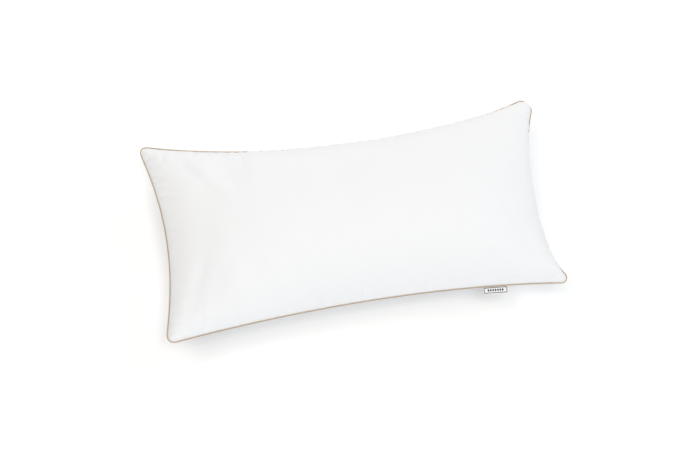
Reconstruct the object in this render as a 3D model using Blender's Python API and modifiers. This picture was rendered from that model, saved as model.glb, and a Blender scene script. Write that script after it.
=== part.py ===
"""A filled bed pillow with a piped seam and a small woven tab, lying on its back.

The case is cut 0.80 m by 0.40 m. Filled, its sides draw in between four soft corners.
Units are metres. +X runs along the long side, +Z is up, and the origin is on the floor
under the middle of the pillow.
"""

import math
from typing import NamedTuple

import bmesh
import bpy
import numpy as np
from mathutils import Vector

# The seam of the filled case, which runs round it at one height.
SEAM_HALF_X = 0.3930  # middle to where the side lines of the seam cross, the long way
SEAM_HALF_Y = 0.1870  # the same, the short way
SEAM_HEIGHT = 0.0700
SEAM_BAND = 0.0018  # height of the case's edge at the seam, which the piping covers

# The two panels, which are the filled case's crown and its back.
CROWN_HEIGHT = 0.0900  # top of the pillow above the seam
ARC_FULLNESS = 0.68  # rise over half width of the even arc that a cross-section follows
END_FULLNESS = 4.2  # how soon the crown is reached from the ends, and 2 is a plain arc
FLOOR_CONTACT = 0.90  # share of the back's depth at which it meets the floor
BACK_SETTLING = 1.55  # how softly the back turns on to the floor
SIDE_SWELL_REACH = 5  # how near to its own side a panel swells out over the seam
SIDE_SWELL_EVENNESS = 0.25  # below 1, a side swells out almost as far near its corners
BACK_SWELL_SHARE = 0.35  # the swell of the lower panel, as a share of the upper one's

# The grid of each panel, whose rows close up towards the seam, where the cloth turns.
CELLS_X = 56
CELLS_Y = 40

SIDE_SAMPLES = 240
CORNER_SAMPLES = 14
SEAM_CLEARANCE = 0.0003  # between pieces that are sewn together

PIPING_RADIUS = 0.0011
PIPING_POINTS_LONG = 84
PIPING_POINTS_END = 56

TAB_LENGTH = 0.0490  # along the seam
TAB_REACH = 0.0152  # out from the seam
TAB_THICKNESS = 0.0010
TAB_ALONG_SIDE = 0.812  # place of its middle along the front side, from the left
TAB_DROOP = 0.0040
TAB_CELLS_LONG = 12
TAB_CELLS_OUT = 5


class Side(NamedTuple):
    """One side of the seam, from its first corner to its second."""

    name: str
    start: tuple
    end: tuple
    inward: tuple
    draw_in: float  # how far the side's middle is drawn in
    fullness: float  # 1 is a plain arc, and more draws in the middle alone
    lean: float  # above 0 the draw is deeper towards the second corner
    first_swell: float  # how far the panel swells out over the seam by the first corner
    last_swell: float  # the same by the second corner


SIDES = (
    Side("front", (-1, -1), (1, -1), (0, 1), 0.0245, 0.95, 0.08, 0.006, 0.006),
    Side("right", (1, -1), (1, 1), (-1, 0), 0.0408, 0.77, -0.18, 0.038, 0.034),
    Side("back", (1, 1), (-1, 1), (0, -1), 0.0454, 0.91, -0.01, 0.036, 0.016),
    Side("left", (-1, 1), (-1, -1), (1, 0), 0.0285, 1.08, -0.03, 0.027, 0.027),
)


class Corner(NamedTuple):
    """One corner of the seam, which is where two sides meet."""

    across: int
    along: int
    lift: float  # how far it stands above the rest of the seam
    pull: tuple = (0.0, 0.0)  # how far it is pulled out of place, along X and Y
    rounding: float = 0.0215  # length of seam on each side of it that is rounded
    fullness: float = 0.67  # 0 cuts straight across the corner, and 1 fills it


CORNERS = (
    Corner(-1, -1, 0.0040),
    Corner(1, -1, 0.0030, (0.0119, -0.0018), 0.0300, 0.34),
    Corner(1, 1, 0.0080, (0.0124, 0.0146), 0.0490, 0.29),
    Corner(-1, 1, 0.0060),
)
CORNER_LIFT_REACH = 3
CORNER_PULL_REACH = 16  # how near to a corner its pull is felt, and more is nearer


class Fold(NamedTuple):
    """A soft trough in the cloth, or a swelling where its depth is below 0."""

    x: float
    y: float
    heading: float  # degrees from +X towards +Y
    length: float
    width: float
    depth: float


FOLDS = (
    Fold(-0.345, 0.150, -40, 0.120, 0.013, 0.0028),
    Fold(-0.350, 0.110, -62, 0.080, 0.012, 0.0020),
    Fold(-0.345, -0.140, 38, 0.110, 0.013, 0.0024),
    Fold(-0.300, -0.155, 60, 0.070, 0.013, 0.0018),
    Fold(0.345, -0.145, 142, 0.120, 0.013, 0.0026),
    Fold(0.300, -0.155, 118, 0.070, 0.013, 0.0018),
    Fold(0.340, 0.145, -138, 0.110, 0.013, 0.0026),
    Fold(0.290, 0.145, -112, 0.080, 0.014, 0.0020),
    Fold(-0.060, -0.140, 72, 0.050, 0.018, 0.0014),
    Fold(0.055, 0.125, -80, 0.060, 0.018, 0.0012),
    Fold(-0.120, 0.030, 5, 0.240, 0.080, -0.0030),
    Fold(0.170, -0.030, -8, 0.200, 0.080, -0.0018),
)

CLOTH_COLOUR = (0.86, 0.86, 0.87)
PIPING_COLOUR = (0.56, 0.40, 0.25)
TAB_COLOUR = (0.88, 0.88, 0.88)


def clear_scene():
    """Removes every object, so that only the pillow is in the file."""
    for item in list(bpy.data.objects):
        bpy.data.objects.remove(item, do_unlink=True)


class Line:
    """A line in plan that can be read at any distance along it."""

    def __init__(self, points):
        self.points = points
        steps = np.linalg.norm(np.diff(points, axis=0), axis=1)
        self.distances = np.concatenate([[0.0], np.cumsum(steps)])
        self.length = self.distances[-1]

    def at(self, distance):
        """The point at a distance from the line's start."""
        columns = self.points.T
        return np.array([np.interp(distance, self.distances, column) for column in columns])

    def trimmed(self, first, last):
        """The line's points, without a first and a last length of it."""
        inside = (self.distances > first) & (self.distances < self.length - last)
        return self.points[inside]


def drawn_in_side(k):
    """The line of side k, between the points where the side lines cross."""
    side, first, last = SIDES[k], CORNERS[k], CORNERS[(k + 1) % len(CORNERS)]
    half = np.array([SEAM_HALF_X, SEAM_HALF_Y])
    share = np.linspace(0.0, 1.0, SIDE_SAMPLES)[:, None]
    from_middle = 2.0 * share - 1.0
    dip = side.draw_in * (1.0 - from_middle**2) ** side.fullness
    dip *= 1.0 + side.lean * from_middle
    straight = half * side.start * (1.0 - share) + half * side.end * share
    pulled = np.array(first.pull) * (1.0 - share) ** CORNER_PULL_REACH
    pulled = pulled + np.array(last.pull) * share**CORNER_PULL_REACH
    return Line(straight + pulled + np.array(side.inward) * dip)


def corner_turn(before, tip, after, fullness):
    """The two halves of the soft turn at a corner, as a cubic curve."""
    share = np.linspace(0.0, 1.0, 2 * CORNER_SAMPLES - 1)[:, None]
    leaving = before + fullness * (tip - before)
    arriving = after + fullness * (tip - after)
    points = (1 - share) ** 3 * before + 3 * share * (1 - share) ** 2 * leaving
    points += 3 * share**2 * (1 - share) * arriving + share**3 * after
    return points[:CORNER_SAMPLES], points[CORNER_SAMPLES - 1:]


def seam_sides():
    """The seam's four sides, each from one rounded corner's middle to the next."""
    lines = [drawn_in_side(k) for k in range(len(SIDES))]
    turns = []
    for k, corner in enumerate(CORNERS):
        before = lines[k - 1].at(lines[k - 1].length - corner.rounding)
        after = lines[k].at(corner.rounding)
        turns.append(corner_turn(before, lines[k].points[0], after, corner.fullness))
    outlines = []
    for k, line in enumerate(lines):
        following = (k + 1) % len(lines)
        middle = line.trimmed(CORNERS[k].rounding, CORNERS[following].rounding)
        outlines.append(np.vstack([turns[k][1], middle, turns[following][0]]))
    outline = np.vstack(outlines)
    middle = (outline.min(axis=0) + outline.max(axis=0)) / 2.0
    return [Line(side - middle) for side in outlines]


class Seam:
    """The seam's outline, and the plan of the cloth inside it."""

    def __init__(self):
        self.sides = seam_sides()

    def on_side(self, k, share):
        """A point on side k, at a share of its length."""
        side = self.sides[k]
        return side.at(share * side.length)

    def plan(self, s, t):
        """The place in plan of the cloth at s and t, which both run from -1 to 1."""
        a, b = (s + 1.0) / 2.0, (t + 1.0) / 2.0
        front, right = self.on_side(0, a), self.on_side(1, b)
        back, left = self.on_side(2, 1.0 - a), self.on_side(3, 1.0 - b)
        tips = [self.on_side(k, 0.0) for k in range(4)]
        between_tips = (1 - a) * (1 - b) * tips[0] + a * (1 - b) * tips[1]
        between_tips = between_tips + a * b * tips[2] + (1 - a) * b * tips[3]
        return (1 - b) * front + b * back + (1 - a) * left + a * right - between_tips


def dome(s, t):
    """Height of the filled case at s and t, as a share of its crown.

    Across the pillow it is an even arc, and along it a flat crown with round ends. The
    two meet so that the case is thin in each corner.
    """
    radius = (1.0 + ARC_FULLNESS**2) / (2.0 * ARC_FULLNESS)
    across = 1.0 - (radius - math.sqrt(radius**2 - t * t)) / ARC_FULLNESS
    along = 1.0 - abs(s) ** END_FULLNESS
    both = max(0.0, across * along)
    return both / (across + along - both) if both > 0.0 else 0.0


def seam_lift(s, t):
    """Height of the seam above its usual height, near the corners."""
    total = 0.0
    for corner in CORNERS:
        nearness = (1 + s * corner.across) / 2 * (1 + t * corner.along) / 2
        total += corner.lift * nearness**CORNER_LIFT_REACH
    return total


def side_swell(s, t, height):
    """How far the upper panel swells out over the seam, as a step in plan."""
    out = np.zeros(2)
    for side in SIDES:
        outward = -np.array(side.inward)
        nearness = max(0.0, float(outward @ (s, t))) ** SIDE_SWELL_REACH
        run = float((np.array(side.end) - side.start) @ (s, t)) / 2.0
        amount = (side.first_swell * (1.0 - run) + side.last_swell * (1.0 + run)) / 2.0
        out += outward * nearness * amount * max(0.0, 1.0 - run * run) ** SIDE_SWELL_EVENNESS
    return out * 4.0 * height * (1.0 - height)


def fold_depth(place):
    """How far the cloth is drawn in by the folds at a place in plan."""
    total = 0.0
    for fold in FOLDS:
        turn = math.radians(fold.heading)
        ahead = Vector((math.cos(turn), math.sin(turn)))
        away = Vector(place) - Vector((fold.x, fold.y))
        along = away.dot(ahead) / fold.length - 0.5
        aside = away.cross(ahead) / fold.width
        total += fold.depth * math.exp(-(aside**2) - (2.0 * along) ** 4)
    return total


def panel_point(seam, s, t, upper):
    """The place of the cloth at s and t, on the upper or the lower panel."""
    height = dome(s, t)
    swell_share = 1.0 if upper else BACK_SWELL_SHARE
    place = seam.plan(s, t) + swell_share * side_swell(s, t, height)
    level = SEAM_HEIGHT + seam_lift(s, t)
    half_band = SEAM_BAND / 2.0
    drawn = fold_depth(place) * min(1.0, 2.0 * height)
    if upper:
        return Vector((*place, level + half_band + CROWN_HEIGHT * height - drawn))
    hanging = max(0.0, 1.0 - height / FLOOR_CONTACT) ** BACK_SETTLING
    return Vector((*place, (level - half_band + drawn) * hanging))


def make_material(name, colour, roughness):
    """A plain cloth finish."""
    material = bpy.data.materials.new(name)
    material.use_nodes = True
    shader = material.node_tree.nodes["Principled BSDF"]
    shader.inputs["Base Color"].default_value = (*colour, 1.0)
    shader.inputs["Roughness"].default_value = roughness
    shader.inputs["Metallic"].default_value = 0.0
    return material


def finished_object(name, shape, collection, material):
    """An object of a bmesh, shaded smooth, in the pillow's collection."""
    data = bpy.data.meshes.new(name)
    shape.to_mesh(data)
    shape.free()
    data.materials.append(material)
    data.shade_smooth()
    item = bpy.data.objects.new(name, data)
    collection.objects.link(item)
    return item


def add_panel(shape, seam, upper):
    """Adds one panel to the bmesh and returns the edges round its rim."""
    grid = bmesh.ops.create_grid(shape, x_segments=CELLS_X, y_segments=CELLS_Y, size=1.0)
    cloth = grid["verts"]
    rim = {edge for vert in cloth for edge in vert.link_edges if edge.is_boundary}
    quarter_turn = math.pi / 2.0
    for vert in cloth:
        s = math.sin(vert.co.x * quarter_turn)
        t = math.sin(vert.co.y * quarter_turn)
        vert.co = panel_point(seam, s, t, upper)
    return rim


def build_body(seam, collection):
    """The filled case: two panels that meet in a narrow band at the seam."""
    shape = bmesh.new()
    rims = add_panel(shape, seam, True) | add_panel(shape, seam, False)
    bmesh.ops.bridge_loops(shape, edges=list(rims))
    bmesh.ops.recalc_face_normals(shape, faces=shape.faces)
    cloth = make_material("case_cloth", CLOTH_COLOUR, 0.85)
    return finished_object("pillow_body", shape, collection, cloth)


def piping_route(seam):
    """The line of the piping, a little outside the seam, all the way round."""
    outline = []
    for k in range(4):
        count = PIPING_POINTS_LONG if k % 2 == 0 else PIPING_POINTS_END
        for i in range(count):
            turn = math.sin((2.0 * i / count - 1.0) * math.pi / 2.0)
            outline.append(seam.on_side(k, (turn + 1.0) / 2.0))
    outline = np.array(outline)
    ahead = np.roll(outline, -1, axis=0) - np.roll(outline, 1, axis=0)
    ahead /= np.linalg.norm(ahead, axis=1)[:, None]
    outward = np.stack([ahead[:, 1], -ahead[:, 0]], axis=1)
    route = outline + outward * (PIPING_RADIUS + SEAM_CLEARANCE)
    half = np.array([SEAM_HALF_X, SEAM_HALF_Y])
    shares = np.clip(outline / half, -1.0, 1.0)
    heights = [SEAM_HEIGHT + seam_lift(*share) for share in shares]
    return [(*place, height) for place, height in zip(route, heights)]


def build_piping(seam, collection):
    """The covered cord that is sewn into the seam, a closed loop."""
    route = piping_route(seam)
    curve = bpy.data.curves.new("piping", "CURVE")
    curve.dimensions = "3D"
    curve.bevel_depth = PIPING_RADIUS
    curve.bevel_resolution = 2
    curve.twist_mode = "Z_UP"
    line = curve.splines.new("POLY")
    line.points.add(len(route) - 1)
    for point, place in zip(line.points, route):
        point.co = (*place, 1.0)
    line.use_cyclic_u = True
    line.use_smooth = True
    curve.materials.append(make_material("piping_cord", PIPING_COLOUR, 0.55))
    item = bpy.data.objects.new("piping", curve)
    collection.objects.link(item)
    return item


def build_tab(seam, collection):
    """The folded woven tab that stands out of the front side's seam."""
    shape = bmesh.new()
    grid = bmesh.ops.create_grid(
        shape, x_segments=TAB_CELLS_LONG, y_segments=TAB_CELLS_OUT, size=1.0
    )
    half_share = TAB_LENGTH / seam.sides[0].length / 2.0
    root_level = SEAM_HEIGHT - PIPING_RADIUS - SEAM_CLEARANCE - TAB_THICKNESS / 2.0
    for vert in grid["verts"]:
        share = TAB_ALONG_SIDE + vert.co.x * half_share
        out = (1.0 - vert.co.y) / 2.0
        place = seam.on_side(0, share) - (0.0, SEAM_CLEARANCE + out * TAB_REACH)
        lift = seam_lift(2.0 * share - 1.0, -1.0)
        vert.co = (*place, root_level + lift - TAB_DROOP * out**1.5)
    tape = make_material("tab_tape", TAB_COLOUR, 0.7)
    item = finished_object("side_label", shape, collection, tape)
    thicken = item.modifiers.new("thickness", "SOLIDIFY")
    thicken.thickness = TAB_THICKNESS
    thicken.offset = 0.0
    return item


def main():
    """Builds the pillow's three pieces."""
    clear_scene()
    collection = bpy.data.collections.new("bed_pillow")
    bpy.context.scene.collection.children.link(collection)
    seam = Seam()
    build_body(seam, collection)
    build_piping(seam, collection)
    build_tab(seam, collection)


main()
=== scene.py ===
"""The looks of a filled bed pillow, lying on its back on a pale floor.

The case is two panels of white cloth, sewn together with a covered cord in the seam and a
folded tape in its front side. Units are metres. +X runs along the long side, +Z is up, and
the origin is on the floor under the pillow's middle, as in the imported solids.
"""

from __future__ import annotations

import logging
import math
from contextlib import contextmanager
from dataclasses import dataclass, field
from enum import Enum
from functools import cached_property
from typing import Callable, Iterator, Sequence

import bpy
import numpy as np
from mathutils import Matrix, Vector, noise


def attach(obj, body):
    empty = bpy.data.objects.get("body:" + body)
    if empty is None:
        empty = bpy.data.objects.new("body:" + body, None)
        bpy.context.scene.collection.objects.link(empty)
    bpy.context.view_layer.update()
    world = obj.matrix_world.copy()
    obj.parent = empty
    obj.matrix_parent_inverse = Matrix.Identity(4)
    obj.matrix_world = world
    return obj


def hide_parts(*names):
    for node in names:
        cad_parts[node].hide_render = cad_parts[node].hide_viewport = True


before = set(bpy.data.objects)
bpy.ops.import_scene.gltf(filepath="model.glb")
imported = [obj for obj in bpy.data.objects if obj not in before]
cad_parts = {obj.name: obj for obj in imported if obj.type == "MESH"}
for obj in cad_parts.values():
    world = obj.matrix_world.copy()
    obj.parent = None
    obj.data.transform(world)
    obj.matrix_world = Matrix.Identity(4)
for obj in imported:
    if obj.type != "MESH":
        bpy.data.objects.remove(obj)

LOG = logging.getLogger("bed_pillow")
RIM_TOLERANCE = 1e-5
TINY = 1e-9

Array = np.ndarray
Items = bpy.types.bpy_prop_collection
Material = bpy.types.Material
Node = bpy.types.Node
Object = bpy.types.Object
Socket = bpy.types.NodeSocket
Value = float | Sequence[float] | Socket
Colour = tuple[float, float, float, float]
Pair = tuple[float, float]


class Panel(Enum):
    """The two panels of the case."""

    UPPER = 1
    LOWER = -1


class PlanLine:
    """A line that can be read at any distance along it."""

    def __init__(self, points: Array) -> None:
        """Measures the line through some points, one a row."""
        self.points = points
        steps = np.linalg.norm(np.diff(points, axis=0), axis=1)
        self.distances = np.concatenate([[0.0], np.cumsum(steps)])
        self.length = float(self.distances[-1])

    def at(self, distance: float | Array) -> Array:
        """Reads the line.

        Args:
            distance: How far along it, as one number or as many.

        Returns:
            The place at each distance, in the last axis.
        """
        columns = [np.interp(distance, self.distances, column) for column in self.points.T]
        return np.stack(columns, axis=-1)

    def trimmed(self, first: float, last: float) -> Array:
        """The line's points, without a first and a last length of it."""
        inside = (self.distances > first) & (self.distances < self.length - last)
        return self.points[inside]


@dataclass(frozen=True)
class SeamSide:
    """One side of the seam, from its first corner to its second.

    draw_in is how far its middle is drawn in, and fullness above 1 draws in the middle
    alone. A lean above 0 draws deeper towards the second corner. The swells say how far
    the upper panel bulges out over the seam by the first and by the second corner.
    """

    start: tuple[int, int]
    end: tuple[int, int]
    inward: tuple[int, int]
    draw_in: float
    fullness: float
    lean: float
    first_swell: float
    last_swell: float


@dataclass(frozen=True)
class SeamCorner:
    """One corner of the seam, where two sides meet.

    lift is how far it stands above the rest of the seam, pull how far it is pulled out of
    place along X and Y, and rounding the length of seam on each side of it that is
    rounded. A fullness of 0 cuts straight across the corner, and 1 fills it.
    """

    across: int
    along: int
    lift: float
    pull: Pair = (0.0, 0.0)
    rounding: float = 0.0215
    fullness: float = 0.67


@dataclass
class Seam:
    """The line in which the two panels and the cord are sewn together."""

    half_x: float = 0.3930
    half_y: float = 0.1870
    height: float = 0.0700
    band: float = 0.0018
    lift_reach: int = 3
    pull_reach: int = 16
    clearance: float = 0.0003
    side_samples: int = 240
    corner_samples: int = 14
    sides: tuple[SeamSide, ...] = (
        SeamSide((-1, -1), (1, -1), (0, 1), 0.0245, 0.95, 0.08, 0.006, 0.006),  # Front
        SeamSide((1, -1), (1, 1), (-1, 0), 0.0408, 0.77, -0.18, 0.038, 0.034),  # Right
        SeamSide((1, 1), (-1, 1), (0, -1), 0.0454, 0.91, -0.01, 0.036, 0.016),  # Back
        SeamSide((-1, 1), (-1, -1), (1, 0), 0.0285, 1.08, -0.03, 0.027, 0.027),  # Left
    )
    corners: tuple[SeamCorner, ...] = (
        SeamCorner(-1, -1, 0.0040),
        SeamCorner(1, -1, 0.0030, (0.0119, -0.0018), 0.0300, 0.34),
        SeamCorner(1, 1, 0.0080, (0.0124, 0.0146), 0.0490, 0.29),
        SeamCorner(-1, 1, 0.0060),
    )

    def _drawn_in(self, k: int) -> PlanLine:
        """The line of side k in plan, between the points where the side lines cross."""
        side, first, last = self.sides[k], self.corners[k], self.corners[(k + 1) % 4]
        half = np.array([self.half_x, self.half_y])
        share = np.linspace(0.0, 1.0, self.side_samples)[:, None]
        from_middle = 2.0 * share - 1.0
        dip = side.draw_in * (1.0 - from_middle**2) ** side.fullness
        dip *= 1.0 + side.lean * from_middle
        straight = half * side.start * (1.0 - share) + half * side.end * share
        pulled = np.array(first.pull) * (1.0 - share) ** self.pull_reach
        pulled = pulled + np.array(last.pull) * share**self.pull_reach
        return PlanLine(straight + pulled + np.array(side.inward) * dip)

    def _turn(self, before: Array, tip: Array, after: Array,
              fullness: float) -> tuple[Array, Array]:
        """The soft turn at a corner, as a cubic curve.

        Args:
            before: Where it leaves one side.
            tip: Where the side lines cross.
            after: Where it meets the next side.
            fullness: How far it fills the corner.

        Returns:
            The points of its two halves.
        """
        share = np.linspace(0.0, 1.0, 2 * self.corner_samples - 1)[:, None]
        leaving = before + fullness * (tip - before)
        arriving = after + fullness * (tip - after)
        points = (1 - share) ** 3 * before + 3 * share * (1 - share) ** 2 * leaving
        points += 3 * share**2 * (1 - share) * arriving + share**3 * after
        return points[:self.corner_samples], points[self.corner_samples - 1:]

    @cached_property
    def outlines(self) -> list[PlanLine]:
        """The four sides, each from one rounded corner's middle to the next."""
        lines = [self._drawn_in(k) for k in range(4)]
        turns = []
        for k, corner in enumerate(self.corners):
            before = lines[k - 1].at(lines[k - 1].length - corner.rounding)
            after = lines[k].at(corner.rounding)
            turns.append(self._turn(before, lines[k].points[0], after, corner.fullness))
        parts = []
        for k, line in enumerate(lines):
            following = (k + 1) % 4
            middle = line.trimmed(self.corners[k].rounding, self.corners[following].rounding)
            parts.append(np.vstack([turns[k][1], middle, turns[following][0]]))
        outline = np.vstack(parts)
        middle = (outline.min(axis=0) + outline.max(axis=0)) / 2.0
        return [PlanLine(part - middle) for part in parts]

    def on_side(self, k: int, share: float | Array) -> Array:
        """The place in plan at a share of the length of side k."""
        return self.outlines[k].at(np.asarray(share) * self.outlines[k].length)

    def plan(self, s: Array, t: Array) -> Array:
        """Lays the cloth out inside the seam.

        Args:
            s: Places along the pillow, from -1 to 1.
            t: Places across it, likewise.

        Returns:
            Where they lie in plan, one a row.
        """
        a, b = (s + 1.0) / 2.0, (t + 1.0) / 2.0
        tips = [self.on_side(k, 0.0) for k in range(4)]
        front, right = self.on_side(0, a), self.on_side(1, b)
        back, left = self.on_side(2, 1.0 - a), self.on_side(3, 1.0 - b)
        a, b = a[:, None], b[:, None]
        between_tips = (1 - a) * (1 - b) * tips[0] + a * (1 - b) * tips[1]
        between_tips = between_tips + a * b * tips[2] + (1 - a) * b * tips[3]
        return (1 - b) * front + b * back + (1 - a) * left + a * right - between_tips

    def lift(self, s: Array, t: Array) -> Array:
        """How far the seam stands above its usual height, near the corners."""
        total = np.zeros_like(s)
        for corner in self.corners:
            nearness = (1 + s * corner.across) / 2 * (1 + t * corner.along) / 2
            total += corner.lift * nearness**self.lift_reach
        return total


def deselect_all() -> None:
    """Leaves nothing selected, so that an operator acts on new pieces alone."""
    for item in bpy.context.selected_objects:
        item.select_set(False)


def pick(item: Object, *others: Object) -> None:
    """Selects some objects and makes the first of them active."""
    deselect_all()
    for each in (item, *others):
        each.select_set(True)
    bpy.context.view_layer.objects.active = item


def set_up(thing: bpy.types.bpy_struct, settings: dict[str, object]) -> None:
    """Gives a node, a modifier or the like its settings, by their names."""
    for name, value in settings.items():
        setattr(thing, name, value)


def apply_modifier(item: Object, kind: str, **settings: object) -> None:
    """Adds a modifier and applies it.

    Args:
        item: The object that takes it.
        kind: Blender's name of the modifier's kind.
        **settings: Its settings by name.
    """
    modifier = item.modifiers.new(kind.lower(), kind)
    set_up(modifier, settings)
    pick(item)
    bpy.ops.object.modifier_apply(modifier=modifier.name)


@contextmanager
def editing() -> Iterator[None]:
    """Opens the active mesh for editing, with all of it selected, and closes it after."""
    bpy.ops.object.mode_set(mode="EDIT")
    bpy.ops.mesh.select_all(action="SELECT")
    yield
    bpy.ops.object.mode_set(mode="OBJECT")


def new_grid(name: str, cells: tuple[int, int], size: float) -> Object:
    """Adds a flat square grid, as the only selected object.

    Args:
        name: Its name.
        cells: How many cells it has along X and along Y.
        size: The length of its sides.

    Returns:
        The grid.
    """
    deselect_all()
    bpy.ops.mesh.primitive_grid_add(x_subdivisions=cells[0], y_subdivisions=cells[1], size=size)
    item = bpy.context.object
    item.name = item.data.name = name
    return item


def read_rows(items: Items, name: str) -> Array:
    """Three numbers of each of a mesh's items, one item a row."""
    flat = np.empty(len(items) * 3, dtype=np.float32)
    items.foreach_get(name, flat)
    return flat.reshape(-1, 3).astype(float)


def read_counts(items: Items, name: str) -> Array:
    """A whole number of each of a mesh's items."""
    found = np.empty(len(items), dtype=np.int32)
    items.foreach_get(name, found)
    return found


def write_rows(items: Items, name: str, rows: Array) -> None:
    """Gives each of a mesh's items its row of numbers."""
    items.foreach_set(name, rows.astype(np.float32).ravel())


def read_points(mesh: bpy.types.Mesh) -> Array:
    """The places of a mesh's vertices, one a row."""
    return read_rows(mesh.vertices, "co")


def write_points(mesh: bpy.types.Mesh, points: Array) -> None:
    """Moves a mesh's vertices to the places given."""
    write_rows(mesh.vertices, "co", points)
    mesh.update()


def direction(azimuth: float, elevation: float) -> Vector:
    """The way from the pillow to something round it.

    Args:
        azimuth: How far round from the front side, in degrees.
        elevation: How far above the floor, in degrees.

    Returns:
        A vector of length 1.
    """
    turn, rise = math.radians(azimuth), math.radians(elevation)
    level = math.cos(rise)
    return Vector((math.sin(turn) * level, -math.cos(turn) * level, math.sin(rise)))


class NodeGraph:
    """Fills a node tree by short calls."""

    def __init__(self, tree: bpy.types.NodeTree) -> None:
        """Takes the tree to fill."""
        self.tree = tree

    def add(self, kind: str, **settings: object) -> Node:
        """Adds a shader node.

        Args:
            kind: Blender's name of the node, without its first word.
            **settings: Its settings by name.

        Returns:
            The node.
        """
        node = self.tree.nodes.new("ShaderNode" + kind)
        set_up(node, settings)
        return node

    def feed(self, socket: Socket, value: Value) -> None:
        """Links a socket to another one, or sets its own value."""
        if isinstance(value, bpy.types.NodeSocket):
            self.tree.links.new(value, socket)
        else:
            socket.default_value = value

    def fed(self, node: Node, values: dict[str, Value]) -> Node:
        """Feeds a node's inputs by their names, and returns the node."""
        for name, value in values.items():
            self.feed(node.inputs[name], value)
        return node

    def math(self, operation: str, *values: Value) -> Socket:
        """Works out one number.

        Args:
            operation: The Math node's operation.
            *values: What goes into it.

        Returns:
            The socket of the result.
        """
        node = self.add("Math", operation=operation)
        for socket, value in zip(node.inputs, values):
            self.feed(socket, value)
        return node.outputs[0]

    def scaled(self, vector: Socket, scale: Value) -> Socket:
        """A vector times a number."""
        node = self.add("VectorMath", operation="SCALE")
        return self.fed(node, {"Vector": vector, "Scale": scale}).outputs[0]

    def parted(self, vector: Socket) -> tuple[Socket, Socket]:
        """The first two numbers of a vector."""
        node = self.fed(self.add("SeparateXYZ"), {"Vector": vector})
        return node.outputs[0], node.outputs[1]

    def joined(self, x: Value, y: Value) -> Socket:
        """A vector of two numbers and 0."""
        return self.fed(self.add("CombineXYZ"), {"X": x, "Y": y}).outputs[0]

    def noise(self, place: Socket, scale: Value, detail: float = 2.0,
              roughness: float = 0.5) -> Socket:
        """A soft random pattern.

        Args:
            place: Where it is read.
            scale: Its repeats for each unit of length.
            detail: How many finer layers it has.
            roughness: How strong these are.

        Returns:
            The socket of its value, from 0 to 1.
        """
        node = self.add("TexNoise", noise_dimensions="2D")
        values = {"Vector": place, "Scale": scale, "Detail": detail, "Roughness": roughness}
        return self.fed(node, values).outputs[0]

    def ranged(self, value: Socket, low: float, high: float) -> Socket:
        """A value from 0 to 1, turned to one from low to high."""
        values = {"Value": value, "To Min": low, "To Max": high}
        return self.fed(self.add("MapRange"), values).outputs[0]

    def blended(self, share: Value, first: Value, second: Value) -> Socket:
        """The colour between two others, of which a share of 1 gives the second."""
        node = self.add("Mix", data_type="RGBA")
        return self.fed(node, {"Factor": share, "A": first, "B": second}).outputs["Result"]

    def bumped(self, height: Socket, relief: float, **below: Socket) -> Socket:
        """A normal that shows a relief.

        Args:
            height: The relief's shape, from 0 to 1.
            relief: Its real height.
            **below: As Normal, the normal that it is laid on.

        Returns:
            The socket of the normal.
        """
        values = {"Height": height, "Distance": relief, **below}
        return self.fed(self.add("Bump"), values).outputs[0]

    def grouped(self, tree: bpy.types.NodeTree, **values: Value) -> Node:
        """Places a node group, with its inputs fed by their names."""
        return self.fed(self.add("Group", node_tree=tree), values)


class SharedEffect:
    """A node group that more than one finish places, with its own values in each."""

    name = "effect"
    inputs: dict[str, str] = {}
    outputs: tuple[str, ...] = ()

    def tree(self) -> bpy.types.NodeTree:
        """The effect's group, which is made the first time it is asked for."""
        found = bpy.data.node_groups.get(self.name)
        if found is not None:
            return found
        made = bpy.data.node_groups.new(self.name, "ShaderNodeTree")
        for name, kind in self.inputs.items():
            made.interface.new_socket(name=name, in_out="INPUT", socket_type=kind)
        for name in self.outputs:
            made.interface.new_socket(name=name, in_out="OUTPUT", socket_type="NodeSocketFloat")
        graph = NodeGraph(made)
        given = made.nodes.new("NodeGroupInput")
        results = self.draw(graph, *(given.outputs[name] for name in self.inputs))
        final = made.nodes.new("NodeGroupOutput")
        for name, result in zip(self.outputs, results):
            graph.feed(final.inputs[name], result)
        return made

    def draw(self, graph: NodeGraph, *given: Socket) -> tuple[Socket, ...]:
        """Makes the group's nodes and returns the sockets of its outputs, in order."""
        raise NotImplementedError


class PlainWeave(SharedEffect):
    """Threads that cross over and under one another, with slightly uneven threads.

    slub_apart is how far apart two threads read their random tone, and slub_along how
    slowly it changes along a thread.
    """

    name = "plain_weave"
    inputs = {"Place": "NodeSocketVector", "Pitch": "NodeSocketFloat"}
    outputs = ("Height", "Tone")
    slub_apart = 7.31
    slub_along = 0.04

    def draw(self, graph: NodeGraph, *given: Socket) -> tuple[Socket, ...]:
        """Makes the height of the upper threads, and a tone that differs by thread."""
        place, pitch = given
        x, y = graph.parted(graph.scaled(place, graph.math("DIVIDE", 1.0, pitch)))
        heights, tones = [], []
        for across, ahead, sign in ((x, y, 0.5), (y, x, -0.5)):
            number = graph.math("FLOOR", across)
            from_middle = graph.math("SUBTRACT", graph.math("FRACT", across), 0.5)
            round_top = graph.math("COSINE", graph.math("MULTIPLY", from_middle, math.pi))
            phase = graph.math("SUBTRACT", graph.math("ADD", ahead, number), 0.5)
            swing = graph.math("COSINE", graph.math("MULTIPLY", phase, math.pi))
            over = graph.math("MULTIPLY_ADD", swing, sign, 0.5)
            heights.append(graph.math("MULTIPLY", round_top, over))
            slub = graph.joined(graph.math("MULTIPLY", number, self.slub_apart),
                                graph.math("MULTIPLY", ahead, self.slub_along))
            tones.append(graph.noise(slub, 1.0, detail=1.0))
        tone = graph.math("MULTIPLY", graph.math("ADD", *tones), 0.5)
        return graph.math("MAXIMUM", *heights), tone


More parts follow.
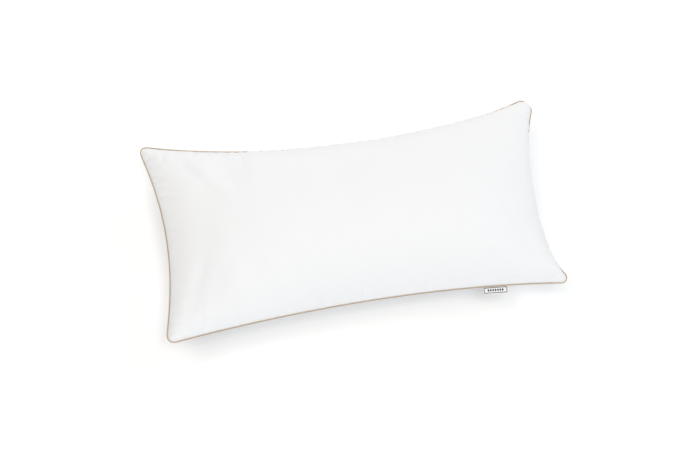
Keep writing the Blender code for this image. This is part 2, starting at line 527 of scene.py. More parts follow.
class SoftCrinkle(SharedEffect):
    """The faint creases that thin cloth keeps from washing and handling."""

    name = "soft_crinkle"
    inputs = {"Place": "NodeSocketVector", "Size": "NodeSocketFloat"}
    outputs = ("Height",)
    round_roughness = 0.45
    ridge_fineness = 1.9
    ridge_share = 0.35

    def draw(self, graph: NodeGraph, *given: Socket) -> tuple[Socket, ...]:
        """Makes soft rounds with some finer ridges between them."""
        place, size = given
        scale = graph.math("DIVIDE", 1.0, size)
        rounds = graph.noise(place, scale, roughness=self.round_roughness)
        finer = graph.noise(place, graph.math("MULTIPLY", scale, self.ridge_fineness), detail=1.0)
        from_middle = graph.math("ABSOLUTE", graph.math("SUBTRACT", finer, 0.5))
        ridges = graph.math("MULTIPLY_ADD", from_middle, -2.0, 1.0)
        rounds = graph.math("MULTIPLY", rounds, 1.0 - self.ridge_share)
        return (graph.math("MULTIPLY_ADD", ridges, self.ridge_share, rounds),)


@dataclass(frozen=True)
class Finish:
    """What every finish holds: its name, its gloss, its fuzz and its weave.

    roughness is given at the lowest and at the highest places of its relief.
    """

    name: str
    specular: float
    sheen: float
    sheen_roughness: float
    roughness: Pair
    pitch: float
    weave_relief: float

    def start(self, map_name: str) -> tuple[Material, NodeGraph, Node, Socket]:
        """Makes the material with its constant values set.

        Args:
            map_name: The UV map in which it is laid out.

        Returns:
            The material, its graph, its Principled shader and the place in the map.
        """
        material = bpy.data.materials.new(self.name)
        material.use_nodes = True
        shader = material.node_tree.nodes["Principled BSDF"]
        shader.inputs["Specular IOR Level"].default_value = self.specular
        shader.inputs["Sheen Weight"].default_value = self.sheen
        shader.inputs["Sheen Roughness"].default_value = self.sheen_roughness
        graph = NodeGraph(material.node_tree)
        return material, graph, shader, graph.add("UVMap", uv_map=map_name).outputs[0]


@dataclass(frozen=True)
class CrinkledCloth(Finish):
    """Cloth in a plain weave that has faint creases.

    The darker colour is painted into the gaps between the threads as shade, and it is also the
    duller threads' own tone; a share for each says how far it goes.
    """

    bright: Colour
    dull_and_shaded: Colour
    painted_gap_shade: float
    thread_dullness: float
    crinkle_size: float
    crinkle_relief: float

    def woven(self, graph: NodeGraph, shader: Node, threads: Socket,
              creases: Socket) -> tuple[Socket, Socket]:
        """Shows the threads and the creases, with painted shade in the gaps between the threads.

        Args:
            graph: The material's graph.
            shader: Its Principled shader.
            threads: The place along and across the threads, in metres.
            creases: The place in the creased cloth, in metres.

        Returns:
            The heights of the weave and of the creases, from 0 to 1.
        """
        weave = graph.grouped(PlainWeave().tree(), Place=threads, Pitch=self.pitch)
        crinkle = graph.grouped(SoftCrinkle().tree(), Place=creases, Size=self.crinkle_size)
        # Painted shade: the gaps between the threads are darkened towards the darker colour. The
        # slubs are the threads' own random tone.
        gaps = graph.ranged(weave.outputs["Height"], self.painted_gap_shade, 0.0)
        slubs = graph.ranged(weave.outputs["Tone"], 0.0, self.thread_dullness)
        colour = graph.blended(graph.math("ADD", gaps, slubs), self.bright, self.dull_and_shaded)
        graph.feed(shader.inputs["Base Color"], colour)
        soft = graph.bumped(crinkle.outputs["Height"], self.crinkle_relief)
        normal = graph.bumped(weave.outputs["Height"], self.weave_relief, Normal=soft)
        graph.feed(shader.inputs["Normal"], normal)
        return weave.outputs["Height"], crinkle.outputs["Height"]


@dataclass(frozen=True)
class CaseCloth(CrinkledCloth):
    """Fine white cloth, which is a little rougher in its creases."""

    name: str = "case_cloth"
    specular: float = 0.30
    sheen: float = 0.10
    sheen_roughness: float = 0.45
    roughness: Pair = (0.86, 0.74)
    pitch: float = 0.0007
    weave_relief: float = 0.00006
    bright: Colour = (0.799, 0.802, 0.811, 1.0)
    # The darker colour is painted shade in the thread gaps, by the share after it, and the duller
    # threads' own tone.
    dull_and_shaded: Colour = (0.769, 0.771, 0.779, 1.0)
    painted_gap_shade: float = 0.35
    thread_dullness: float = 0.5
    crinkle_size: float = 0.016
    crinkle_relief: float = 0.00030

    def material(self, map_name: str, span: float) -> Material:
        """Makes the material.

        Args:
            map_name: The UV map in which the cloth lies as cut.
            span: The real length of one unit of it.

        Returns:
            The material.
        """
        material, graph, shader, flat = self.start(map_name)
        place = graph.scaled(flat, span)
        _, creases = self.woven(graph, shader, place, place)
        graph.feed(shader.inputs["Roughness"], graph.ranged(creases, *self.roughness))
        return material


@dataclass(frozen=True)
class CordCover(CrinkledCloth):
    """Golden tan cloth that is cut on the bias and wrapped round the cord."""

    name: str = "cord_cover"
    specular: float = 0.45
    sheen: float = 0.15
    sheen_roughness: float = 0.35
    roughness: Pair = (0.62, 0.45)
    pitch: float = 0.00036
    weave_relief: float = 0.00006
    bright: Colour = (0.52, 0.39, 0.26, 1.0)
    # The darker colour is painted shade in the thread gaps, by the share after it, and the duller
    # threads' own tone.
    dull_and_shaded: Colour = (0.39, 0.275, 0.18, 1.0)
    painted_gap_shade: float = 0.6
    thread_dullness: float = 0.4
    crinkle_size: float = 0.0035
    crinkle_relief: float = 0.00012
    bias: float = 45.0

    def material(self, map_name: str, length: float, girth: float) -> Material:
        """Makes the material.

        Args:
            map_name: The UV map that runs along the cord and round it.
            length: The cord's length.
            girth: The way round it.

        Returns:
            The material.
        """
        material, graph, shader, flat = self.start(map_name)
        size, turn = (length, girth, 1.0), (0.0, 0.0, math.radians(self.bias))
        real = graph.fed(graph.add("Mapping"), {"Vector": flat, "Scale": size}).outputs[0]
        turned = graph.fed(graph.add("Mapping"), {"Vector": real, "Rotation": turn}).outputs[0]
        threads, _ = self.woven(graph, shader, turned, real)
        graph.feed(shader.inputs["Roughness"], graph.ranged(threads, *self.roughness))
        return material


@dataclass(frozen=True)
class TabTape(Finish):
    """White woven tape with a thin dark frame, a row of small lozenges, and painted shade in the
    gaps between its threads.
    """

    name: str = "tab_tape"
    specular: float = 0.40
    sheen: float = 0.05
    sheen_roughness: float = 0.30
    roughness: Pair = (0.70, 0.55)
    pitch: float = 0.00030
    weave_relief: float = 0.00004
    ground: Colour = (0.82, 0.82, 0.82, 1.0)
    thread: Colour = (0.030, 0.030, 0.034, 1.0)
    # Share of the colour kept in the thread gaps and on the thread tops; the rest is painted shade
    # in the dark thread colour.
    painted_gap_lightness: Pair = (0.90, 1.00)
    frame_margin: float = 0.0012
    frame_width: float = 0.0013
    frame_root: float = 0.0030
    lozenge_step: float = 0.0048
    lozenge_length: float = 0.0043
    lozenge_width: float = 0.0060
    lozenge_row: float = 0.0084
    row_length: float = 0.0336

    def material(self, map_name: str, length: float, reach: float) -> Material:
        """Makes the material.

        Args:
            map_name: The UV map in which the tape lies flat, in metres.
            length: The tape's length along the seam.
            reach: How far it reaches out to its fold.

        Returns:
            The material.
        """
        material, graph, shader, flat = self.start(map_name)
        weave = graph.grouped(PlainWeave().tree(), Place=flat, Pitch=self.pitch)
        height = weave.outputs["Height"]
        drawn = self._drawn(graph, flat, length, reach)
        colour = graph.blended(drawn, self.ground, self.thread)
        # Painted shade: the gaps between the threads are darkened towards the dark thread colour.
        shaded = graph.blended(graph.ranged(height, *self.painted_gap_lightness), self.thread, colour)
        graph.feed(shader.inputs["Base Color"], shaded)
        graph.feed(shader.inputs["Roughness"], graph.ranged(height, *self.roughness))
        graph.feed(shader.inputs["Normal"], graph.bumped(height, self.weave_relief))
        return material

    def _drawn(self, graph: NodeGraph, flat: Socket, length: float, reach: float) -> Socket:
        """The mask of the frame and the lozenges.

        Args:
            graph: The material's graph.
            flat: The place on the flat tape.
            length: The tape's length along the seam.
            reach: How far it reaches out to its fold.

        Returns:
            The socket of the mask, 1 where the dark thread shows.
        """
        x, y = graph.parted(flat)
        from_middle = graph.math("ABSOLUTE", x)
        to_end = graph.math("SUBTRACT", length / 2.0, from_middle)
        to_fold = graph.math("SUBTRACT", reach, y)
        to_root = graph.math("SUBTRACT", y, self.frame_root - self.frame_margin)
        inset = graph.math("MINIMUM", graph.math("MINIMUM", to_end, to_fold), to_root)
        half_width = self.frame_width / 2.0
        frame_mask = graph.math("COMPARE", inset, self.frame_margin + half_width, half_width)
        step = graph.math("PINGPONG", graph.math("ADD", x, self.row_length),
                          self.lozenge_step / 2.0)
        aside = graph.math("DIVIDE", step, self.lozenge_length / 2.0)
        beyond = graph.math("ABSOLUTE", graph.math("SUBTRACT", y, self.lozenge_row))
        along = graph.math("DIVIDE", beyond, self.lozenge_width / 2.0)
        lozenge = graph.math("LESS_THAN", graph.math("ADD", aside, along), 1.0)
        in_row = graph.math("LESS_THAN", from_middle, self.row_length / 2.0)
        row = graph.math("MULTIPLY", lozenge, in_row)
        return graph.math("MAXIMUM", frame_mask, row)


@dataclass(frozen=True)
class Crease:
    """A soft trough in the case, or a swelling where its depth is below 0.

    It starts at x and y and runs its length at a heading, in degrees from +X.
    """

    x: float
    y: float
    heading: float
    length: float
    width: float
    depth: float

    def depth_at(self, places: Array) -> Array:
        """How far the cloth is drawn in by the crease.

        Args:
            places: Places in plan, one a row.

        Returns:
            The depth at each place.
        """
        turn = math.radians(self.heading)
        away = places - np.array([self.x, self.y])
        along = away @ np.array([math.cos(turn), math.sin(turn)]) / self.length - 0.5
        aside = away @ np.array([-math.sin(turn), math.cos(turn)]) / self.width
        return self.depth * np.exp(-(aside**2) - (2.0 * along) ** 4)


@dataclass
class SeamPuckers:
    """The small gathers that run in from the seam, where the cloth is drawn in."""

    half_cut: Array
    closest: float = 0.011
    furthest: float = 0.026
    shallowest: float = 0.00050
    deepest: float = 0.00220
    narrowest: float = 0.0032
    widest: float = 0.0062
    shortest: float = 0.007
    longest: float = 0.018
    slant: float = 0.35
    fade_reaches: float = 6.0
    seed: int = 11

    def depth_at(self, cut: Array) -> Array:
        """How far the cloth is drawn in by the gathers.

        Args:
            cut: Places in the cut cloth, whose third number tells the panels apart.

        Returns:
            The depth at each place.
        """
        draw = np.random.default_rng(self.seed)
        total = np.zeros(len(cut))
        for panel in Panel:
            on_panel = np.sign(cut[:, 2]) == panel.value
            for axis, side in ((0, -1), (0, 1), (1, -1), (1, 1)):
                along = cut[:, axis] + self.half_cut[axis]
                inward = self.half_cut[1 - axis] - side * cut[:, 1 - axis]
                place = draw.uniform(self.closest, self.furthest)
                while place < 2.0 * self.half_cut[axis]:
                    depth = draw.uniform(self.shallowest, self.deepest)
                    width = draw.uniform(self.narrowest, self.widest)
                    reach = draw.uniform(self.shortest, self.longest)
                    slant = draw.uniform(-self.slant, self.slant)
                    near = on_panel & (inward < self.fade_reaches * reach)
                    aside = (along[near] - place - slant * inward[near]) / width
                    fade = inward[near] / reach
                    total[near] += depth * np.exp(-(aside**2)) * fade * np.exp(1.0 - fade)
                    place += draw.uniform(self.closest, self.furthest)
        return total


@dataclass
class Filling:
    """How the stuffing presses the cloth out, in Blender's cloth simulation."""

    hold: float = 0.06
    frames: int = 36
    largest_move: float = 0.012
    cloth: dict[str, object] = field(default_factory=lambda: {
        "quality": 6, "mass": 0.02, "use_pressure": True, "uniform_pressure_force": 6.0,
        "tension_stiffness": 25.0, "compression_stiffness": 25.0, "shear_stiffness": 12.0,
        "bending_stiffness": 0.3, "tension_damping": 2.0, "compression_damping": 2.0,
        "shear_damping": 2.0, "air_damping": 1.0,
    })


@dataclass
class Unevenness:
    """Soft dents and swellings of the stuffing, which the cloth is laid over."""

    sizes: tuple[float, ...] = (0.085, 0.038, 0.019)
    heights: tuple[float, ...] = (0.0011, 0.0008, 0.0005)
    stretch: float = 0.75
    offset: float = 3.7

    def height_at(self, cut: Array) -> Array:
        """Reads the swellings.

        Args:
            cut: Places in the cut cloth, whose third number tells the panels apart.

        Returns:
            The height at each place.
        """
        total = np.zeros(len(cut))
        for size, height in zip(self.sizes, self.heights):
            for k, (x, y, panel) in enumerate(cut):
                place = (x / size * self.stretch, y / size, panel * self.offset)
                total[k] += height * noise.noise(Vector(place))
        return total


@dataclass
class PillowBody:
    """The filled case: an upper and a lower panel that meet at the seam.

    The creases are in the form that both panels are given, and the wrinkles are pressed
    into the upper one once it has settled.
    """

    seam: Seam
    finish: CaseCloth
    cut_length: float = 0.800
    cut_width: float = 0.400
    cells_long: int = 110
    cells_wide: int = 56
    crown_height: float = 0.0900
    arc_fullness: float = 0.68
    end_fullness: float = 4.2
    floor_contact: float = 0.90
    back_settling: float = 1.55
    swell_reach: int = 5
    swell_evenness: float = 0.25
    back_swell_share: float = 0.35
    spacing_samples: int = 400
    fill: float = 0.85
    map_span: float = 0.820
    map_shift: float = 0.25
    map_name: str = "OFBake"
    filling: Filling = field(default_factory=Filling)
    unevenness: Unevenness = field(default_factory=Unevenness)
    creases: tuple[Crease, ...] = (
        Crease(-0.345, 0.150, -40, 0.120, 0.013, 0.0028),
        Crease(-0.350, 0.110, -62, 0.080, 0.012, 0.0020),
        Crease(-0.345, -0.140, 38, 0.110, 0.013, 0.0024),
        Crease(-0.300, -0.155, 60, 0.070, 0.013, 0.0018),
        Crease(0.345, -0.145, 142, 0.120, 0.013, 0.0026),
        Crease(0.300, -0.155, 118, 0.070, 0.013, 0.0018),
        Crease(0.340, 0.145, -138, 0.110, 0.013, 0.0026),
        Crease(0.290, 0.145, -112, 0.080, 0.014, 0.0020),
        Crease(-0.060, -0.140, 72, 0.050, 0.018, 0.0014),
        Crease(0.055, 0.125, -80, 0.060, 0.018, 0.0012),
        Crease(-0.120, 0.030, 5, 0.240, 0.080, -0.0030),
        Crease(0.170, -0.030, -8, 0.200, 0.080, -0.0018),
    )
    wrinkles: tuple[Crease, ...] = (
        Crease(-0.258, 0.158, -70, 0.090, 0.025, 0.0052),
        Crease(-0.335, 0.150, -48, 0.110, 0.013, 0.0020),
        Crease(-0.312, 0.152, -54, 0.130, 0.015, -0.0024),
        Crease(-0.215, 0.150, -84, 0.070, 0.014, 0.0018),
        Crease(-0.300, 0.050, -96, 0.150, 0.022, 0.0014),
        Crease(-0.262, -0.010, -86, 0.120, 0.018, -0.0012),
        Crease(-0.350, -0.150, 66, 0.110, 0.013, 0.0030),
        Crease(-0.295, -0.160, 66, 0.090, 0.014, -0.0018),
        Crease(-0.150, -0.150, 82, 0.060, 0.015, 0.0014),
        Crease(-0.085, -0.150, 98, 0.050, 0.012, 0.0012),
        Crease(0.310, 0.150, -112, 0.090, 0.012, 0.0016),
        Crease(0.255, 0.140, -96, 0.060, 0.014, 0.0012),
        Crease(0.330, -0.130, 118, 0.110, 0.011, 0.0014),
        Crease(0.230, -0.145, 96, 0.060, 0.013, 0.0012),
        Crease(0.030, 0.060, -24, 0.160, 0.028, 0.0011),
        Crease(0.140, 0.020, 14, 0.180, 0.026, 0.0010),
        Crease(-0.120, -0.040, 32, 0.140, 0.024, 0.0011),
        Crease(-0.328, -0.100, 88, 0.200, 0.034, -0.0030),
        Crease(-0.334, 0.060, 97, 0.130, 0.030, -0.0022),
    )
    wrinkle_evenness: int = 8

    @cached_property
    def half_cut(self) -> Array:
        """Half the length and half the width of the cut panels."""
        return np.array([self.cut_length, self.cut_width]) / 2.0

    def dome(self, s: Array, t: Array) -> Array:
        """The case's height as a share of its crown.

        Across the pillow it is an even arc, and along it a flat crown with round ends.
        The two meet so that the case is thin in each corner.

        Args:
            s: Places along the pillow, from -1 to 1.
            t: Places across it, likewise.

        Returns:
            The height at each place, from 0 to 1.
        """
        radius = (1.0 + self.arc_fullness**2) / (2.0 * self.arc_fullness)
        across = 1.0 - (radius - np.sqrt(radius**2 - t * t)) / self.arc_fullness
        along = 1.0 - np.abs(s) ** self.end_fullness
        both = np.maximum(0.0, across * along)
        total = np.maximum(across + along - both, TINY)
        return np.where(both > 0.0, both / total, 0.0)

    def side_swell(self, s: Array, t: Array, height: Array) -> Array:
        """How far the panel swells out over the seam, as steps in plan.

        Args:
            s: Places along the pillow.
            t: Places across it.
            height: The dome's height there.

        Returns:
            One step a row.
        """
        places = np.stack([s, t], axis=1)
        steps = np.zeros_like(places)
        for side in self.seam.sides:
            outward = -np.array(side.inward, dtype=float)
            nearness = np.maximum(0.0, places @ outward) ** self.swell_reach
            run = places @ (np.array(side.end) - np.array(side.start)) / 2.0
            amount = (side.first_swell * (1.0 - run) + side.last_swell * (1.0 + run)) / 2.0
            strength = nearness * amount * np.maximum(0.0, 1.0 - run * run) ** self.swell_evenness
            steps += outward * strength[:, None]
        return steps * (4.0 * height * (1.0 - height))[:, None]

    def formed(self, s: Array, t: Array, panel: Panel) -> Array:
        """The filled form of one panel.

        Args:
            s: Places along the pillow.
            t: Places across it.
            panel: The panel that is formed.

        Returns:
            One place a row.
        """
        height = self.dome(s, t)
        swell_share = 1.0 if panel is Panel.UPPER else self.back_swell_share
        places = self.seam.plan(s, t) + swell_share * self.side_swell(s, t, height)
        level = self.seam.height + self.seam.lift(s, t)
        half_band = self.seam.band / 2.0
        drawn = sum(crease.depth_at(places) for crease in self.creases)
        drawn = drawn * np.minimum(1.0, 2.0 * height)
        if panel is Panel.UPPER:
            top = level + half_band + self.crown_height * height - drawn
            return np.column_stack([places, top])
        hanging = np.maximum(0.0, 1.0 - height / self.floor_contact) ** self.back_settling
        return np.column_stack([places, (level - half_band + drawn) * hanging])

    @cached_property
    def spacing(self) -> tuple[Callable[[Array], Array], ...]:
        """Turns a place in the cut cloth, from -1 to 1, to s, and likewise to t."""
        found = []
        share = np.linspace(-1.0, 1.0, self.spacing_samples)
        middle = np.zeros_like(share)
        for s, t in ((share, middle), (middle, share)):
            line = PlanLine(self.formed(s, t, Panel.UPPER))
            even = line.distances / line.length * 2.0 - 1.0
            found.append(lambda cut, even=even: np.interp(cut, even, share))
        return tuple(found)

    def _rims(self, cut: Array) -> Array:
        """Finds the panels' rims, where the seam is.

        Args:
            cut: Places in the cut cloth.

        Returns:
            For each place -1 or 1 on an end's rim, -1 or 1 on a side's, and 0 elsewhere.
        """
        flat = cut[:, :2]
        return np.sign(flat) * (np.abs(flat) > self.half_cut - RIM_TOLERANCE)

    def _panel(self, panel: Panel) -> Object:
        """Lays out one panel as cut and bends it to the filled form.

        Args:
            panel: The panel to make.

        Returns:
            The panel, whose attribute "cut" holds each vertex's place in the cut cloth and
            its panel's value.
        """
        item = new_grid("filled_case", (self.cells_long, self.cells_wide), 2.0)
        cut = read_points(item.data)
        to_s, to_t = self.spacing
        write_points(item.data, self.formed(to_s(cut[:, 0]), to_t(cut[:, 1]), panel))
        values = np.full(len(cut), float(panel.value))
        attribute = item.data.attributes.new("cut", "FLOAT_VECTOR", "POINT")
        write_rows(attribute.data, "vector", np.column_stack([cut[:, :2] * self.half_cut, values]))
        if panel is Panel.LOWER:
            with editing():
                bpy.ops.mesh.flip_normals()
        return item

    def _cut(self, case: Object) -> Array:
        """Each vertex's place in the cut cloth and its panel's value, one vertex a row."""
        return read_rows(case.data.attributes["cut"].data, "vector")

    def _sewn(self, upper: Object, lower: Object) -> Object:
        """Sews the panels together round their rims.

        Args:
            upper: The upper panel.
            lower: The lower panel, which becomes part of the upper one's object.

        Returns:
            The closed case.
        """
        pick(upper, lower)
        bpy.ops.object.join()
        with editing():
            bpy.ops.mesh.select_mode(type="EDGE")
            bpy.ops.mesh.select_all(action="DESELECT")
            bpy.ops.mesh.select_non_manifold(
                extend=False, use_wire=False, use_boundary=True, use_multi_face=False,
                use_non_contiguous=False, use_verts=False,
            )
            bpy.ops.mesh.bridge_edge_loops()
            bpy.ops.mesh.select_all(action="SELECT")
            bpy.ops.mesh.normals_make_consistent(inside=False)
        return upper

    def _filled(self, case: Object) -> None:
        """Lets the stuffing settle the cloth, whose cut is larger than the form.

        Args:
            case: The sewn case, which keeps its form apart from small moves.
        """
        filling = self.filling
        start = read_points(case.data)
        cut = self._cut(case)
        on_rim = self._rims(cut).any(axis=1)
        case.shape_key_add(name="formed")
        as_cut = case.shape_key_add(name="as_cut")
        flat = np.column_stack([cut[:, :2], cut[:, 2] * self.seam.band / 2.0])
        write_rows(as_cut.data, "co", flat)
        held = case.vertex_groups.new(name="held")
        held.add(np.flatnonzero(on_rim).tolist(), 1.0, "REPLACE")
        held.add(np.flatnonzero(~on_rim).tolist(), filling.hold, "REPLACE")
        modifier = case.modifiers.new("filling", "CLOTH")
        cloth = modifier.settings
        set_up(cloth, filling.cloth)
        cloth.vertex_group_mass = held.name
        cloth.rest_shape_key = as_cut
        cloth.effector_weights.gravity = 0.0
        modifier.collision_settings.use_collision = False
        modifier.point_cache.frame_end = filling.frames
        scene = bpy.context.scene
        for number in range(1, filling.frames + 1):
            scene.frame_set(number)
        evaluated = case.evaluated_get(bpy.context.evaluated_depsgraph_get())
        settled = read_points(evaluated.data)
        case.modifiers.remove(modifier)
        case.shape_key_clear()
        case.vertex_groups.clear()
        scene.frame_set(1)
        moves = settled - start
        lengths = np.linalg.norm(moves, axis=1, keepdims=True)
        LOG.info("the cloth moved %.1f mm at most", 1000.0 * lengths.max())
        most = filling.largest_move
        moves *= most * np.tanh(lengths / most) / np.maximum(lengths, TINY)
        write_points(case.data, start + moves)

    def _pressed(self, case: Object, depth: Array) -> None:
        """Moves the cloth in along its normals, and never under the floor.

        Args:
            case: The case.
            depth: How far each vertex moves in.
        """
        normals = read_rows(case.data.vertices, "normal")
        points = read_points(case.data) - normals * depth[:, None]
        points[:, 2] = np.maximum(points[:, 2], 0.0)
        write_points(case.data, points)

    def _wrinkled(self, case: Object, cut: Array) -> Array:
        """How far the upper panel is drawn in by its wrinkles, which fade out at its rim.

        Args:
            case: The case.
            cut: Its places in the cut cloth.

        Returns:
            The depth at each vertex.
        """
        places = read_points(case.data)[:, :2]
        depth = sum(wrinkle.depth_at(places) for wrinkle in self.wrinkles)
        fade = 1.0 - (cut[:, :2] / self.half_cut) ** self.wrinkle_evenness
        return np.where(cut[:, 2] > 0.0, depth * fade.prod(axis=1), 0.0)

    def _mapped(self, case: Object) -> None:
        """Lays the two panels out side by side in a UV map, as they were cut.

        The narrow band between them is laid out round the upper panel.

        Args:
            case: The case.
        """
        mesh = case.data
        counts = read_counts(mesh.polygons, "loop_total")
        starts = np.concatenate([[0], np.cumsum(counts)[:-1]])
        places = self._cut(case)[read_counts(mesh.loops, "vertex_index")]
        flat, panel = places[:, :2], places[:, 2]
        whole = np.maximum.reduceat(panel, starts) < Panel.LOWER.value / 2.0
        in_lower = np.repeat(whole, counts)
        outward = self._rims(places) * (self.seam.band * (1.0 - panel) / 2.0)[:, None]
        place = np.where(in_lower[:, None], flat, flat + outward) / self.map_span + 0.5
        place[:, 1] += np.where(in_lower, -self.map_shift, self.map_shift)
        while mesh.uv_layers:
            mesh.uv_layers.remove(mesh.uv_layers[0])
        write_rows(mesh.uv_layers.new(name=self.map_name).uv, "vector", place)

    def build(self) -> Object:
        """Makes the filled case."""
        case = self._sewn(self._panel(Panel.UPPER), self._panel(Panel.LOWER))
        cut = self._cut(case)
        uneven = np.where(self._rims(cut).any(axis=1), 0.0, self.unevenness.height_at(cut))
        self._pressed(case, -uneven)
        self._filled(case)
        apply_modifier(case, "SUBSURF", levels=1, render_levels=1)
        cut = self._cut(case)
        gathers = SeamPuckers(self.half_cut).depth_at(cut)
        self._pressed(case, gathers + self._wrinkled(case, cut))
        self._mapped(case)
        case.data.shade_smooth()
        case.data.materials.append(self.finish.material(self.map_name, self.map_span))
        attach(case, "root")
        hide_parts("pillow_body")
        return case


@dataclass
class SeamCord:
    """The covered cord that is sewn in all the way round the seam."""

    seam: Seam
    finish: CordCover
    radius: float = 0.0011
    rings: int = 1200
    ring_sides: int = 14
    samples: int = 2400
    unevenness: float = 0.03
    uneven_length: float = 0.030
    weld_share: float = 0.1

    @cached_property
    def route(self) -> PlanLine:
        """The cord's middle line, from the front left corner all the way round."""
        share = np.linspace(0.0, 1.0, self.samples // 4, endpoint=False)
        outline = np.vstack([self.seam.on_side(k, share) for k in range(4)])
        ahead = np.roll(outline, -1, axis=0) - np.roll(outline, 1, axis=0)
        ahead /= np.linalg.norm(ahead, axis=1)[:, None]
        outward = np.stack([ahead[:, 1], -ahead[:, 0]], axis=1)
        places = outline + outward * (self.radius + self.seam.clearance)
        half = np.array([self.seam.half_x, self.seam.half_y])
        s, t = np.clip(outline / half, -1.0, 1.0).T
        line = np.column_stack([places, self.seam.height + self.seam.lift(s, t)])
        return PlanLine(np.vstack([line, line[:1]]))

    def build(self) -> Object:
        """Makes the cord from a grid that is rolled up and laid along the seam."""
        cord = new_grid("covered_cord", (self.rings, self.ring_sides), 1.0)
        grid = read_points(cord.data) + 0.5
        distance = grid[:, 0] * self.route.length
        step = self.route.length / self.rings
        middle = self.route.at(distance % self.route.length)
        ahead = self.route.at((distance + step) % self.route.length)
        ahead = ahead - self.route.at((distance - step) % self.route.length)
        ahead[:, 2] = 0.0
        ahead /= np.linalg.norm(ahead, axis=1)[:, None]
        outward = np.column_stack([ahead[:, 1], -ahead[:, 0], np.zeros(len(ahead))])
        upward = np.array([0.0, 0.0, 1.0])
        wobble = [noise.noise(Vector(place) / self.uneven_length) for place in middle]
        size = self.radius * (1.0 + self.unevenness * np.array(wobble))
        around = -2.0 * math.pi * grid[:, 1]
        offset = np.cos(around)[:, None] * outward + np.sin(around)[:, None] * upward
        write_points(cord.data, middle + size[:, None] * offset)
        with editing():
            bpy.ops.mesh.remove_doubles(threshold=self.weld_share * self.radius / self.ring_sides)
            bpy.ops.mesh.normals_make_consistent(inside=False)
        cord.data.shade_smooth()
        girth = 2.0 * math.pi * self.radius
        map_name = cord.data.uv_layers[0].name
        cord.data.materials.append(self.finish.material(map_name, self.route.length, girth))
        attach(cord, "root")
        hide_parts("piping")
        return cord


@dataclass
class SeamTab:
    """The folded tape that is sewn into the front side, with its fold outwards."""

    seam: Seam
    finish: TabTape
    cord_radius: float
    length: float = 0.0490
    reach: float = 0.0152
    thickness: float = 0.00035
    layer_gap: float = 0.0006
    room: float = 0.0010
    along_side: float = 0.812
    droop: float = 0.0040
    droop_curve: float = 1.5
    twist: float = 0.0010
    crease_angle: float = 40.0
    cells_long: int = 46
    cells_round: int = 56
    map_name: str = "tape"

    @property
    def flat_width(self) -> float:
        """The tape's length before it was folded, from root to root."""
        fold = self.layer_gap / 2.0
        return 2.0 * (self.reach - fold) + math.pi * fold

    def build(self) -> Object:
        """Makes the tape from a grid that is folded over on itself."""
        tab = new_grid("folded_tab", (self.cells_long, self.cells_round), 2.0)
        grid = read_points(tab.data)
        fold = self.layer_gap / 2.0
        straight = self.reach - fold
        run = (1.0 + grid[:, 1]) / 2.0 * self.flat_width
        turn = np.clip((run - straight) / fold, 0.0, math.pi)
        back = np.maximum(0.0, run - straight - math.pi * fold)
        out = np.minimum(run, straight) + fold * np.sin(turn) - back
        side = self.seam.outlines[0]
        share = self.along_side + grid[:, 0] * self.length / side.length / 2.0
        place = side.at(share * side.length)
        place[:, 1] -= self.seam.clearance + out
        root = self.seam.height - self.cord_radius - self.seam.clearance - self.room / 2.0
        root = root + self.seam.lift(2.0 * share - 1.0, np.full_like(share, -1.0))
        hang = (out / self.reach).clip(0.0) ** self.droop_curve
        hang = hang * (self.droop + self.twist * grid[:, 0])
        height = root - hang + fold * np.cos(turn)
        write_points(tab.data, np.column_stack([place, height]))
        layer = tab.data.uv_layers[0]
        layer.name = self.map_name
        flat = np.column_stack([grid[:, 0] * self.length / 2.0, run])
        write_rows(layer.uv, "vector", flat[read_counts(tab.data.loops, "vertex_index")])
        apply_modifier(tab, "SOLIDIFY", thickness=self.thickness, offset=0.0)
        tab.data.shade_smooth()
        tab.data.set_sharp_from_angle(angle=math.radians(self.crease_angle))
        tab.data.materials.append(self.finish.material(self.map_name, self.length, self.reach))
        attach(tab, "root")
        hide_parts("side_label")
        return tab


@dataclass(frozen=True)
class SoftLight:
    """A square area light, placed round the pillow and turned to it."""

    name: str
    azimuth: float
    elevation: float
    power: float
    colour: tuple[float, float, float] = (1.0, 1.0, 1.0)
    distance: float = 5.5
    size: float = 2.8

    def build(self, target: Vector) -> Object:
        """Makes the light.

        Args:
            target: What it is turned to.

        Returns:
            The light's object.
        """
        data = bpy.data.lights.new(self.name, "AREA")
        data.energy = self.power
        data.size = self.size
        data.color = self.colour
        light = bpy.data.objects.new(self.name, data)
        bpy.context.scene.collection.objects.link(light)
        away = direction(self.azimuth, self.elevation)
        light.location = target + away * self.distance
        light.rotation_mode = "QUATERNION"
        light.rotation_quaternion = (-away).to_track_quat("-Z", "Y")
        return light


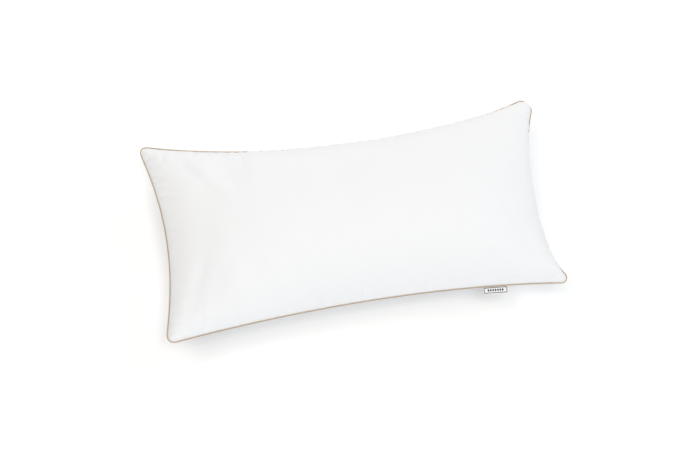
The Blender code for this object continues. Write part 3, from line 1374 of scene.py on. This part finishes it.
@dataclass
class Studio:
    """The pale floor, the soft lights and the camera.

    elevation is the camera's height above the floor in degrees, and roll its turn about
    its own line of sight.
    """

    azimuth: float = -48.3
    elevation: float = 75.0
    roll: float = -9.9
    distance: float = 2.29
    aim: tuple[float, float, float] = (-0.0286, -0.0225, 0.07)
    lens: float = 62.6
    sensor: float = 36.0
    floor_size: float = 60.0
    floor_colour: Colour = (0.93, 0.93, 0.93, 1.0)
    floor_roughness: float = 0.9
    floor_specular: float = 0.1
    sky_colour: Colour = (1.0, 1.0, 1.0, 1.0)
    sky_strength: float = 0.37
    lights: tuple[SoftLight, ...] = (
        SoftLight("overhead", 0.0, 85.0, 105.0),
        SoftLight("right_back", 120.0, 30.0, 100.0, (0.92, 0.96, 1.00)),
        SoftLight("back", 180.0, 30.0, 24.0),
        SoftLight("left_back", 240.0, 55.0, 95.0, (1.00, 0.95, 0.88)),
        SoftLight("low_front", 0.0, 12.0, 127.0, (0.95, 0.98, 1.00)),
    )

    def build(self) -> None:
        """Makes the studio round the pillow."""
        self._floor()
        for light in self.lights:
            light.build(Vector(self.aim))
        world = bpy.data.worlds.new("studio")
        world.use_nodes = True
        background = world.node_tree.nodes["Background"]
        background.inputs["Color"].default_value = self.sky_colour
        background.inputs["Strength"].default_value = self.sky_strength
        bpy.context.scene.world = world
        bpy.context.scene.view_settings.view_transform = "Standard"
        self._camera()

    def _floor(self) -> None:
        """Makes the floor, which isn't part of the pillow."""
        deselect_all()
        bpy.ops.mesh.primitive_plane_add(size=self.floor_size)
        floor = bpy.context.object
        floor.name = floor.data.name = "floor"
        material = bpy.data.materials.new("floor")
        material.use_nodes = True
        shader = material.node_tree.nodes["Principled BSDF"]
        shader.inputs["Base Color"].default_value = self.floor_colour
        shader.inputs["Roughness"].default_value = self.floor_roughness
        shader.inputs["Specular IOR Level"].default_value = self.floor_specular
        floor.data.materials.append(material)

    def _camera(self) -> None:
        """Places the camera as it stood for the photograph."""
        roll = math.radians(self.roll)
        back = direction(self.azimuth, self.elevation)
        level = Vector((0.0, 1.0, 0.0)).cross(back).normalized()
        upright = back.cross(level)
        right = math.cos(roll) * level + math.sin(roll) * upright
        above = math.cos(roll) * upright - math.sin(roll) * level
        data = bpy.data.cameras.new("camera")
        data.sensor_width = self.sensor
        data.lens = self.lens
        camera = bpy.data.objects.new("camera", data)
        bpy.context.scene.collection.objects.link(camera)
        pose = Matrix((right, above, back)).transposed().to_4x4()
        pose.translation = Vector(self.aim) + back * self.distance
        camera.matrix_world = pose
        bpy.context.scene.camera = camera


def main() -> None:
    """Builds the pillow and its studio, piece by piece."""
    logging.basicConfig(level=logging.INFO, format="%(name)s: %(message)s")
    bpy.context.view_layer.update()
    seam = Seam()
    cord = SeamCord(seam, CordCover())
    for maker in (PillowBody(seam, CaseCloth()), cord, SeamTab(seam, TabTape(), cord.radius)):
        piece = maker.build()
        LOG.info("%s: %d faces", piece.name, len(piece.data.polygons))
    LOG.info("the cord is %.3f m long", cord.route.length)
    Studio().build()


if __name__ == "__main__":
    main()
